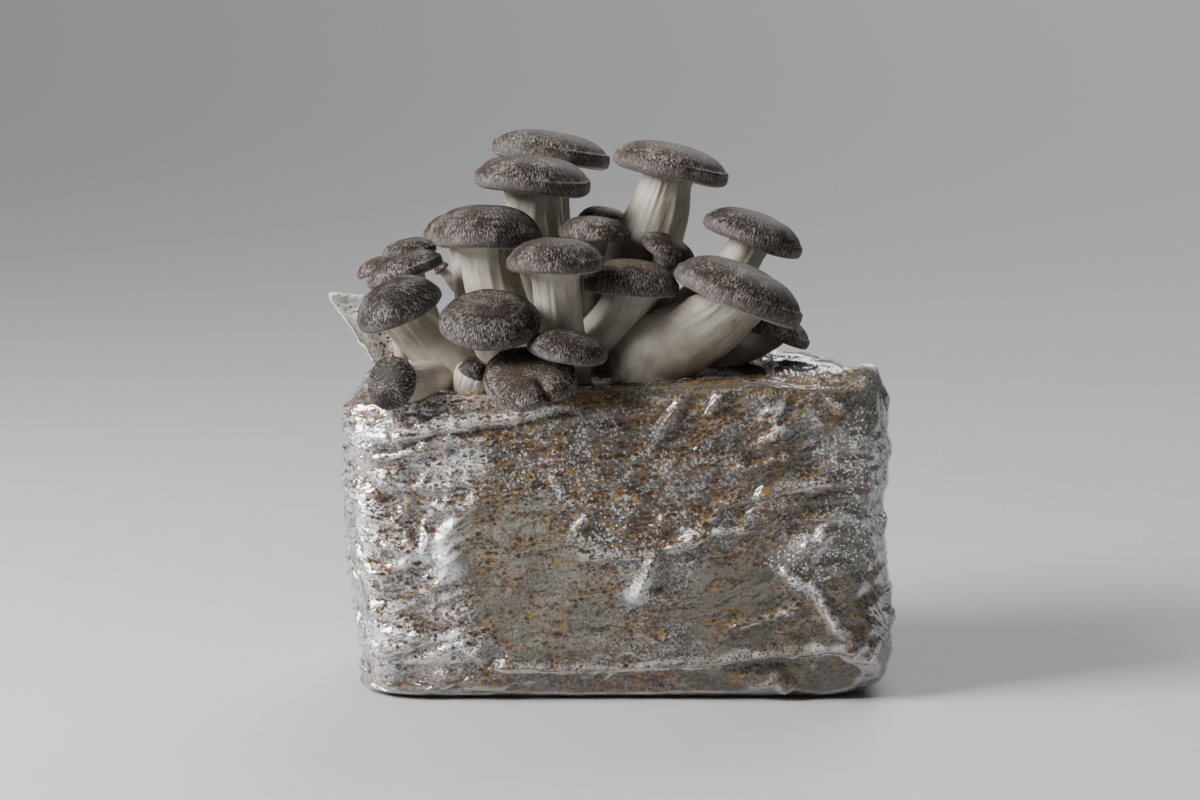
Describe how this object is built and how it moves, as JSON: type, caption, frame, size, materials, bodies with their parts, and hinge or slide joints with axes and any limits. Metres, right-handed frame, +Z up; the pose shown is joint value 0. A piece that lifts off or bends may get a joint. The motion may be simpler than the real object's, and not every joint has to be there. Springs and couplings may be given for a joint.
{
  "type": "oyster mushroom grow kit",
  "caption": "Block of colonised sawdust in a clear crumpled film bag cut open at the top, with a cluster of grey-brown oyster mushrooms growing out of the opening.",
  "frame": {"origin": "on the surface that the block rests on, under the middle of the block", "axes": "+X along the block's long side, to the right as seen from the front; +Y towards the back; +Z up"},
  "size_m": [0.2233, 0.1592, 0.2146],
  "materials": {
    "bag_film": "clear thin film, glossy, crumpled, clinging to the block with haze and small droplets inside",
    "mycelium": "white to blue-grey mycelium over pressed sawdust, dull, flecked amber and dark brown",
    "cap_skin": "dry dark grey-brown skin with pale streaks that run out from the middle, paler at the margin",
    "stem_flesh": "matt cream flesh with fine ribs down from the cap",
    "grain": "dry yellow grain"
  },
  "bodies": {
    "root": {"cap_back_top": "cap_skin", "cap_centre": "cap_skin", "cap_centre_back": "cap_skin", "cap_centre_far": "cap_skin", "cap_centre_right": "cap_skin", "cap_front_big": "cap_skin", "cap_front_button": "cap_skin", "cap_front_dented": "cap_skin", "cap_front_right": "cap_skin", "cap_left_behind": "cap_skin", "cap_left_big": "cap_skin", "cap_left_bud": "cap_skin", "cap_left_dark": "cap_skin", "cap_left_edge": "cap_skin", "cap_left_far": "cap_skin", "cap_left_low": "cap_skin", "cap_left_tilted": "cap_skin", "cap_right_back": "cap_skin", "cap_right_big": "cap_skin", "cap_right_low": "cap_skin", "cap_right_small": "cap_skin", "cap_shade_button": "cap_skin", "cap_upper_middle": "cap_skin", "cap_upper_right": "cap_skin", "grain_flake": "grain", "grow_bag": "bag_film", "pin_shade": "stem_flesh", "stem_back_top": "stem_flesh", "stem_centre": "stem_flesh", "stem_centre_back": "stem_flesh", "stem_centre_far": "stem_flesh", "stem_centre_right": "stem_flesh", "stem_front_big": "stem_flesh", "stem_front_button": "stem_flesh", "stem_front_dented": "stem_flesh", "stem_front_right": "stem_flesh", "stem_left_behind": "stem_flesh", "stem_left_big": "stem_flesh", "stem_left_bud": "stem_flesh", "stem_left_dark": "stem_flesh", "stem_left_edge": "stem_flesh", "stem_left_far": "stem_flesh", "stem_left_low": "stem_flesh", "stem_left_tilted": "stem_flesh", "stem_right_back": "stem_flesh", "stem_right_big": "stem_flesh", "stem_right_low": "stem_flesh", "stem_right_small": "stem_flesh", "stem_shade_button": "stem_flesh", "stem_upper_middle": "stem_flesh", "stem_upper_right": "stem_flesh", "substrate_block": "mycelium"}
  },
  "joints": []
}
